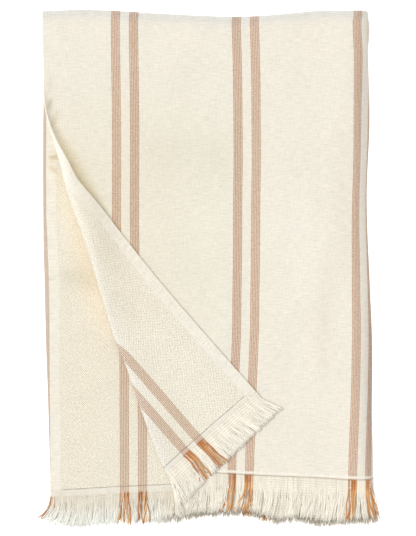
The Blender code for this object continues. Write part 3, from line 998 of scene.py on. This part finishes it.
def make_cloth():
    """The whole cloth as one sheet on the solid's folds, its face and reverse apart."""
    cloth = bpy.context.scene.towel_cloth
    columns, rows = flat_columns(), flat_rows()
    bpy.ops.object.select_all(action="DESELECT")
    wide, tall = len(columns) - 1, len(rows) - 1
    bpy.ops.mesh.primitive_grid_add(x_subdivisions=wide, y_subdivisions=tall, size=1.0)
    grid = bpy.context.object
    bm = bmesh.new()
    bm.from_mesh(grid.data)
    bpy.data.objects.remove(grid, do_unlink=True)
    for vert in bm.verts:
        column = round((vert.co.x + 0.5) * wide)
        row = round((vert.co.y + 0.5) * tall)
        vert.co = Vector((columns[column], rows[row], 0.0))
    cut_roll(bm, rows)
    bmesh.ops.triangulate(bm, faces=[face for face in bm.faces if len(face.verts) > 4])
    for layer in list(bm.loops.layers.uv):
        bm.loops.layers.uv.remove(layer)
    place_map = bm.loops.layers.uv.new("Cloth")
    weights = bm.verts.layers.deform.verify()
    painted_lights = bm.verts.layers.float_color.new("painted_light")
    hem_shown = mix(THICKNESS, HEM_THICKNESS, HEM_STEP)
    places = {}
    for vert in bm.verts:
        across, along = vert.co.x, vert.co.y
        inward = (min(across, WIDTH - across) - HEM_WIDTH + HEM_SLOPE) / HEM_SLOPE
        vert[weights][0] = mix(hem_shown, THICKNESS, smooth(inward)) / HEM_THICKNESS
        flat, _ = laid(across, along)
        places[vert] = (drifted(across, along, flat.y) * MM, along * MM)
        place = folded(across, along)
        # The painted light and shade of each point, carried to the materials.
        vert[painted_lights] = (*layer_painted_light(across, along, place), 1.0)
        vert.co = world(place)
    for face in bm.faces:
        for loop in face.loops:
            loop[place_map].uv = places[loop.vert]
    mesh = bpy.data.meshes.new("cloth_sheet")
    bm.to_mesh(mesh)
    bm.free()
    materials = [face_material(cloth), reverse_material(cloth)]
    piece = new_piece("cloth_sheet", mesh, materials, "towel_cloth")
    piece.vertex_groups.new(name="hem")
    solid = piece.modifiers.new("Thickness", "SOLIDIFY")
    solid.thickness = HEM_THICKNESS * MM
    solid.offset = -1.0
    solid.use_even_offset = True
    solid.vertex_group = "hem"
    solid.material_offset = 1
    solid.material_offset_rim = 0
    bpy.ops.object.modifier_apply(modifier="Thickness")
    bpy.ops.object.shade_smooth_by_angle(angle=math.radians(CLOTH_SMOOTH))


def yarn_template(sides, rings):
    """One straight yarn, a unit across and a unit long, as corner places and faces."""
    bpy.ops.object.select_all(action="DESELECT")
    bpy.ops.mesh.primitive_circle_add(vertices=sides, radius=0.5, fill_type="NGON")
    yarn = bpy.context.object
    bpy.ops.object.mode_set(mode="EDIT")
    bpy.ops.mesh.select_all(action="SELECT")
    move = {"value": (0.0, 0.0, 1.0 / rings)}
    for _ in range(rings):
        bpy.ops.mesh.extrude_region_move(TRANSFORM_OT_translate=move)
    bpy.ops.mesh.select_all(action="SELECT")
    bpy.ops.mesh.normals_make_consistent(inside=False)
    bpy.ops.object.mode_set(mode="OBJECT")
    corners = [tuple(vert.co) for vert in yarn.data.vertices]
    faces = [tuple(polygon.vertices) for polygon in yarn.data.polygons]
    bpy.data.objects.remove(yarn, do_unlink=True)
    return corners, faces


def lock_length(across, side, root, short):
    """How far the lock at a place on the cloth reaches past its heading."""
    if short is None:
        return FLAP_LOCK
    start, _ = laid(across, side * (TOP_CLOTH + root))
    tip = curve_at(TIPS, start.x + curve_at(SWEEP, start.x)) + short
    return start.y - tip


def strand_of(u, cloth):
    """The stripe and strand that a place on the pattern is in, and how far its middle is."""
    width, gap = cloth.stripe_width / MM, cloth.stripe_gap / MM
    pair, beyond = divmod(u - cloth.margin / MM, cloth.pair_pitch / MM)
    second, inside = divmod(beyond, width + gap)
    if second > 1.0 or inside > width:
        return None, 0, 0.0
    strand = min(int(inside * STRANDS / width), STRANDS - 1)
    return int(2 * pair + second), strand, (strand + 0.5) * width / STRANDS - inside


class Comb:
    """The loose yarns of one run of fringe, gathered into locks, as points to bend yarns on."""

    def __init__(self, name, side, short, sag, begin, low, high, fringe):
        self.name = name
        self.side, self.short, self.sag, self.begin = side, short, sag, begin
        self.low, self.high, self.fringe = low, high, fringe
        self.count = max(round((high - low) / LOCK_PITCH), 1)
        self.pitch = (high - low) / self.count
        self.root = END_RUN + PART_GAP + HEADING
        self.chance = random.Random(f"{name} {SEED}")
        sway = fringe.sway / MM
        self.loose = LOOSE.get(name, 1.0)
        self.sways = [self.chance.uniform(-sway, sway) * self.loose for _ in range(self.count)]
        self.lengths = [
            lock_length(low + self.pitch * (i + 0.5), side, self.root, short)
            - self.chance.uniform(0.0, fringe.uneven / MM) * self.loose
            for i in range(self.count)
        ]
        self.pinches = [self.chance.uniform(*LOCK_PINCH) * self.loose for _ in range(self.count)]
        self.centres = [
            low + self.pitch * (i + self.chance.uniform(*LOCK_MIDDLE)) for i in range(self.count)
        ]
        self.strands = {}

    def yarn(self, across, u, tier, steps):
        """The points of one yarn, in millimetres, and its tone."""
        chance, radius = self.chance, self.fringe.yarn / MM / 2.0
        lock = min(max(int((across - self.low) / self.pitch), 0), self.count - 1)
        length = self.lengths[lock] + chance.gauss(0.0, LENGTH_SPREAD) * self.loose
        length = max(length, SHORTEST)
        stray = chance.random() < self.fringe.stray
        drift = chance.gauss(0.0, STRAY_WANDER if stray else WANDER) * self.loose
        wave, phase = chance.uniform(*BOW), chance.uniform(0.0, math.tau)
        lift = tier * radius * TIER_RISE + chance.uniform(-LIFT_SPREAD, LIFT_SPREAD)
        lift += STRAY_LIFT if stray else 0.0
        tone = chance.random() * TONES.get(self.name, 1.0)
        centre, pinch, hurry = self.centres[lock], self.pinches[lock], LOCK_HURRY
        stripe, strand, off = strand_of(u, bpy.context.scene.towel_cloth)
        if stripe is not None and tone < CREAM_TONE:
            if (stripe, strand) not in self.strands:
                first, last = STRAND_LEANS.get((self.name, stripe), OTHER_LEANS)
                lean = mix(first, last, strand / (STRANDS - 1)) + chance.gauss(0.0, STRAND_SPREAD)
                bow = chance.uniform(*STRAND_BOW)
                self.strands[stripe, strand] = (lean, bow, chance.uniform(0.0, math.tau))
            lean, wave, phase = self.strands[stripe, strand]
            drift = lean + chance.gauss(0.0, STRAND_WANDER)
            centre, pinch, hurry = across + off, STRAND_PINCH, STRAND_HURRY
            lift += STRAND_LIFT
        clear = smooth((abs(across - CREST) - CREST_CLOTH) / PUFF_REACH)
        points = []
        for i in range(steps + 1):
            run = mix(self.begin, self.root + length, i / steps)
            out = max(run - self.root, 0.0) / length
            place = mix(across, centre, pinch * smooth(out * hurry))
            along = self.side * (TOP_CLOTH + run)
            flat, _ = laid(place, along)
            sag = self.sag * clear * smooth((SAG_FROM - flat.y) / SAG_OVER)
            point = folded(place, along, sag)
            if self.short is not None:
                point.x += curve_at(SWEEP, flat.x) * out * out
            point.x += (self.sways[lock] * clear + drift) * out
            point.x += wave * math.sin(phase + out * BOW_TURNS) * min(out * 2.0, 1.0)
            if self.name in SHADED and point.x > HELD_FROM:
                point.x = mix(HELD_FROM, point.x, HELD_SHARE)
            point.z += self.up(place, along, run) + lift * mix(ROOT_LIFT, 1.0, min(out * 4.0, 1.0))
            point.z += 0.5 * wave * math.sin(phase * 2.0 + out * RISE_TURNS) * out
            point.z = max(point.z, radius)
            points.append(point)
        return points, tone

    def painted_light(self, x, out, tone):
        """The painted light and shade of a yarn at a place on its length."""
        root, tip = YARN_PAINTED_LIGHT[self.name]
        colour = Vector(root).lerp(Vector(tip), smooth(out))
        # Beneath the front run: painted shade, and a painted shadow line below its tips.
        if self.name in SHADED:
            beneath = smooth((x - SHADOW_FROM) / SHADOW_OVER)
            colour = colour.lerp(Vector(BENEATH), BENEATH_SHARE * beneath)
            edge = beneath * smooth(1.0 - abs(out - SHADOW_AT) / SHADOW_REACH)
            colour = colour.lerp(Vector(SHADOW), edge * (0.5 + 0.5 * tone))
        return colour

    def up(self, across, along, run):
        """How far above the cloth's face the yarns leave it: its middle, or over the header."""
        turn, _ = stack_at(across)
        facing = math.cos(turn) * (-1.0 if along < 0.0 else 1.0)
        if along < 0.0 and across < TURN_REACH:
            flat, _ = laid(across, along)
            _, tip = turned(flat)
            facing = -tip
        inside = facing * THICKNESS / 2.0
        on_top = self.begin < END_RUN - 2.0
        over = smooth((END_RUN + HEADER_END - run) / HEADER_END) if on_top else 0.0
        return mix(inside, THICKNESS + FACE_GAP if facing > 0.0 else FACE_GAP, over)


def bend_yarns(node, combs, fringe, material):
    """Copies the straight yarn along every yarn of some combs into one piece."""
    steps = YARN_STEPS
    corners, faces = yarn_template(YARN_SIDES, steps)
    spots, polygons, cloth_uv, twist_uv, tones, painted_lights = [], [], [], [], [], []
    radius = fringe.yarn / MM / 2.0
    for comb, tiers in combs:
        span = comb.high - comb.low
        count = round(span * MM / fringe.pitch)
        for tier in range(tiers):
            for k in range(count):
                across = comb.low + (k + comb.chance.uniform(*SPACING)) * span / count
                flat, _ = laid(across, comb.side * (TOP_CLOTH + END_RUN))
                u = drifted(across, float(comb.side), flat.y)
                points, tone = comb.yarn(across, u, tier, steps)
                first = len(spots)
                thick = radius * comb.chance.uniform(*YARN_SPREAD)
                for x, y, z in corners:
                    i = round(z * steps)
                    ahead = points[min(i + 1, steps)] - points[max(i - 1, 0)]
                    side = Vector((ahead.y, -ahead.x, 0.0)).normalized()
                    rise = side.cross(ahead).normalized()
                    width = thick * (1.0 if i < steps else TIP_WIDTH)
                    spots.append(world(points[i] + (side * x + rise * y) * 2.0 * width))
                    # The painted light and shade along each yarn.
                    painted_lights += [*comb.painted_light(points[i].x, z, tone), 1.0]
                tones += [tone] * len(corners)
                turns = (comb.lengths[0] + 10.0) / TWIST
                for face in faces:
                    polygons.append([first + corner for corner in face])
                    for corner in face:
                        x, y, z = corners[corner]
                        cloth_uv += [u * MM, z]
                        twist_uv += [math.atan2(y, x) / math.tau, z * turns]
    name = node.replace("fringe", "yarns")
    mesh = bpy.data.meshes.new(name)
    mesh.from_pydata(spots, [], polygons)
    mesh.uv_layers.new(name="Cloth").uv.foreach_set("vector", cloth_uv)
    mesh.uv_layers.new(name="Twist").uv.foreach_set("vector", twist_uv)
    mesh.attributes.new("tone", "FLOAT", "POINT").data.foreach_set("value", tones)
    mesh.attributes.new("painted_light", "FLOAT_COLOR", "POINT").data.foreach_set("color", painted_lights)
    mesh.update()
    piece = new_piece(name, mesh, [material], node)
    bpy.ops.object.shade_smooth_by_angle(angle=math.radians(YARN_SMOOTH))
    return piece


def make_fringes():
    """The five runs of loose warp."""
    fringe = bpy.context.scene.towel_fringe
    material = yarn_material(fringe)
    roll_start = roll_across(-TOP_CLOTH - END_RUN, 0.0)
    roll_end = roll_across(-TOP_CLOTH - END_RUN, 1.0)
    outer, inner = CREST - CREST_GAP, (CREST + CREST_GAP, WIDTH)
    spans = ((0.0, roll_end), (roll_start, outer), inner, inner, (0.0, outer))
    made = []
    for (node, side, short, sag, begin), (low, high), tiers in zip(FRINGES, spans, TIERS):
        combs = [(Comb(node, side, short, sag, begin, low, high, fringe), tiers)]
        if node == "fringe_flap":
            roll = Comb("roll", side, None, sag, begin, roll_end, roll_start, fringe)
            combs.append((roll, ROLL_TIERS))
        made.append(bend_yarns(node, combs, fringe, material))
    return made


# ---------------------------------------------------------------------------------------
# Settings, operators and panel
# ---------------------------------------------------------------------------------------


class ClothSettings(bpy.types.PropertyGroup):
    """Sizes and colours of the woven cloth."""

    stripe_width: FloatProperty(
        name="Stripe width", description="Width of one copper stripe",
        default=9.77 * MM, unit="LENGTH",
    )
    stripe_gap: FloatProperty(
        name="Stripe gap", description="Cream between the two stripes of a pair",
        default=9.77 * MM, unit="LENGTH",
    )
    pair_pitch: FloatProperty(
        name="Pair pitch", description="From one pair of stripes to the next",
        default=130.23 * MM, unit="LENGTH",
    )
    margin: FloatProperty(
        name="Margin", description="From a selvage to its first stripe",
        default=74.9 * MM, unit="LENGTH",
    )
    edge_line: FloatProperty(
        name="Edge line", description="Copper warp at the far selvage",
        default=4.7 * MM, unit="LENGTH",
    )
    cream: FloatVectorProperty(
        name="Cream", description="Colour of the face",
        default=(0.845, 0.80, 0.717), subtype="COLOR",
    )
    reverse: FloatVectorProperty(
        name="Reverse", description="Colour of the reverse",
        default=(0.898, 0.841, 0.724), subtype="COLOR",
    )
    # Lighter than the cloth: partly a painted highlight on the ridge's crest.
    ridge: FloatVectorProperty(
        name="Ridge", description="Colour of the sewn ridge",
        default=(0.95, 0.91, 0.835), subtype="COLOR",
    )
    copper: FloatVectorProperty(
        name="Copper", description="Colour of the stripes' yarns",
        default=(0.47, 0.21, 0.09), subtype="COLOR",
    )
    thread_shadow: FloatVectorProperty(
        name="Seam shadow", description="Colour deep in a seam",
        default=(0.30, 0.19, 0.10), subtype="COLOR",
    )


class FringeSettings(bpy.types.PropertyGroup):
    """Sizes and colours of the loose warp."""

    yarn: FloatProperty(
        name="Yarn", description="Thickness of a yarn", default=0.9 * MM, unit="LENGTH"
    )
    # A painted glow: the yarns give off light of their own colour.
    glow: FloatProperty(
        name="Glow", description="Light that passes through the fibres",
        default=0.07, subtype="FACTOR",
    )
    stray: FloatProperty(
        name="Stray", description="Share of yarns that lie astray", default=0.06, subtype="FACTOR"
    )
    pitch: FloatProperty(
        name="Pitch", description="From one yarn to the next", default=0.92 * MM, unit="LENGTH"
    )
    sway: FloatProperty(
        name="Sway", description="How far a lock's tip leans", default=2.2 * MM, unit="LENGTH"
    )
    uneven: FloatProperty(
        name="Uneven", description="How much the locks differ in length",
        default=2.5 * MM, unit="LENGTH",
    )
    # Kept lighter than the cloth's cream, as painted light against the shade the yarns cast on each
    # other.
    cream: FloatVectorProperty(
        name="Cream", description="Colour of the cream yarns",
        default=(0.96, 0.915, 0.83), subtype="COLOR",
    )
    copper: FloatVectorProperty(
        name="Copper", description="Colour of the darker copper yarns",
        default=(0.53, 0.195, 0.06), subtype="COLOR",
    )
    gold: FloatVectorProperty(
        name="Light copper", description="Colour of the lighter ones",
        default=(0.87, 0.53, 0.23), subtype="COLOR",
    )


class StageSettings(bpy.types.PropertyGroup):
    """The floor, the light and the camera."""

    floor: FloatVectorProperty(
        name="Floor", description="Colour of the floor", default=(0.95, 0.95, 0.95), subtype="COLOR"
    )
    glow: FloatProperty(name="Floor glow", description="Light from the floor itself", default=0.62)
    key: FloatProperty(name="Key light", description="Strength of the large lamp", default=1.55)
    sky: FloatProperty(
        name="Fill light", description="Strength of the light all round", default=0.655
    )
    height: FloatProperty(
        name="Camera height", description="How far the camera hangs above the towel",
        default=3.0, unit="LENGTH",
    )


class TOWEL_OT_fold_cloth(bpy.types.Operator):
    """Weave the cloth flat, fold it and turn its corner back"""

    bl_idname = "towel.fold_cloth"
    bl_label = "Fold the cloth"

    def execute(self, context):
        make_cloth()
        return {"FINISHED"}


class TOWEL_OT_lay_fringes(bpy.types.Operator):
    """Lay the loose warp of every layer's end"""

    bl_idname = "towel.lay_fringes"
    bl_label = "Lay the fringes"

    def execute(self, context):
        pieces = make_fringes()
        return {"FINISHED"}


class TOWEL_OT_set_stage(bpy.types.Operator):
    """Set the floor, the light and the camera straight above"""

    bl_idname = "towel.set_stage"
    bl_label = "Set the stage"

    def execute(self, context):
        stage = context.scene.towel_stage
        bpy.ops.object.select_all(action="DESELECT")
        bpy.ops.mesh.primitive_plane_add(size=FLOOR_SIZE)
        floor = context.object
        floor.name = "floor"
        material, w, shader = new_material("pale floor", 0.9)
        place = w.put("ShaderNodeTexCoord").outputs["Object"]
        tone = w.total(0.995, (w.grain(place, (3.0, 3.0, 3.0)), 0.01))
        w.feed(shader.inputs["Base Color"], shaded(w, opaque(stage.floor), tone))
        shader.inputs["Emission Color"].default_value = (1.0, 1.0, 1.0, 1.0)
        shader.inputs["Emission Strength"].default_value = stage.glow
        floor.data.materials.append(material)
        studio = bpy.data.worlds.new("studio")
        studio.use_nodes = True
        sky = studio.node_tree.nodes["Background"].inputs
        sky["Color"].default_value = SKY_COLOUR
        sky["Strength"].default_value = stage.sky
        context.scene.world = studio
        bpy.ops.object.light_add(type="SUN", location=LAMP_PLACE)
        lamp = context.object
        lamp.name = "softbox"
        lamp.data.energy = stage.key
        lamp.data.angle = math.radians(LAMP_ANGLE)
        lamp.data.color = LAMP_COLOUR
        lamp.rotation_euler = Vector(LAMP_AIM).to_track_quat("-Z", "Y").to_euler()
        bpy.ops.object.camera_add(location=(CAMERA_X, CAMERA_Y, stage.height), rotation=(0, 0, 0))
        camera = context.object
        camera.data.sensor_width = SENSOR
        camera.data.lens = SENSOR * (stage.height - SHARP_AT) / (IMAGE_TALL * PIXEL * MM)
        context.scene.camera = camera
        context.scene.view_settings.view_transform = "Standard"
        return {"FINISHED"}


class TOWEL_PT_panel(bpy.types.Panel):
    """Sizes and colours of the towel, and the steps that make it"""

    bl_idname = "TOWEL_PT_panel"
    bl_label = "Hammam towel"
    bl_space_type = "VIEW_3D"
    bl_region_type = "UI"
    bl_category = "Towel"

    def draw(self, context):
        scene = context.scene
        for group in (scene.towel_cloth, scene.towel_fringe, scene.towel_stage):
            box = self.layout.box()
            for name in group.__annotations__:
                box.prop(group, name)
        for operator in OPERATORS:
            self.layout.operator(operator.bl_idname)


OPERATORS = (TOWEL_OT_fold_cloth, TOWEL_OT_lay_fringes, TOWEL_OT_set_stage)
CLASSES = (ClothSettings, FringeSettings, StageSettings, *OPERATORS, TOWEL_PT_panel)


def register():
    for cls in CLASSES:
        bpy.utils.register_class(cls)
    bpy.types.Scene.towel_cloth = PointerProperty(type=ClothSettings)
    bpy.types.Scene.towel_fringe = PointerProperty(type=FringeSettings)
    bpy.types.Scene.towel_stage = PointerProperty(type=StageSettings)


def unregister():
    del bpy.types.Scene.towel_stage
    del bpy.types.Scene.towel_fringe
    del bpy.types.Scene.towel_cloth
    for cls in reversed(CLASSES):
        bpy.utils.unregister_class(cls)


def main():
    register()
    bpy.ops.towel.fold_cloth()
    bpy.ops.towel.lay_fringes()
    bpy.ops.towel.set_stage()


if __name__ == "__main__":
    main()
